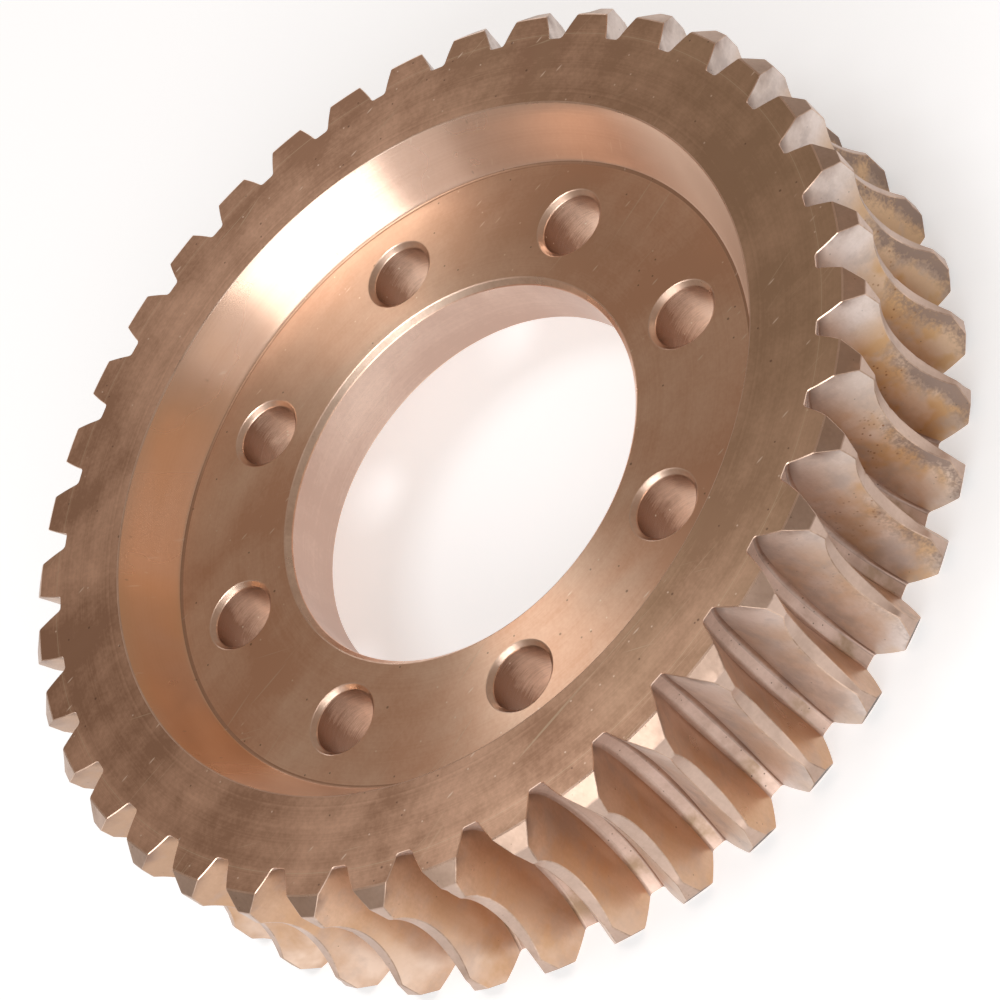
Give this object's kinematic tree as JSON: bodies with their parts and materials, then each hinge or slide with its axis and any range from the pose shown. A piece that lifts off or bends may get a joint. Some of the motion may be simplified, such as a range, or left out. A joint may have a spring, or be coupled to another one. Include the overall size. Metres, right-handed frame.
{
  "type": "worm gear wheel",
  "caption": "Bronze worm wheel ring: throated, hobbed teeth around a wide rim, a recessed web with a circle of bolt holes, and a large central bore.",
  "frame": {"origin": "centre of the wheel's back rim face, on the bore's axis", "axes": "+Z along the bore from the back face to the front face, +X through the centre of one bolt hole"},
  "size_m": [0.2518, 0.252, 0.056],
  "materials": {
    "bronze": "machined bronze, satin turned faces and brighter hobbed teeth"
  },
  "bodies": {
    "root": {"gear_wheel": "bronze"}
  },
  "joints": []
}
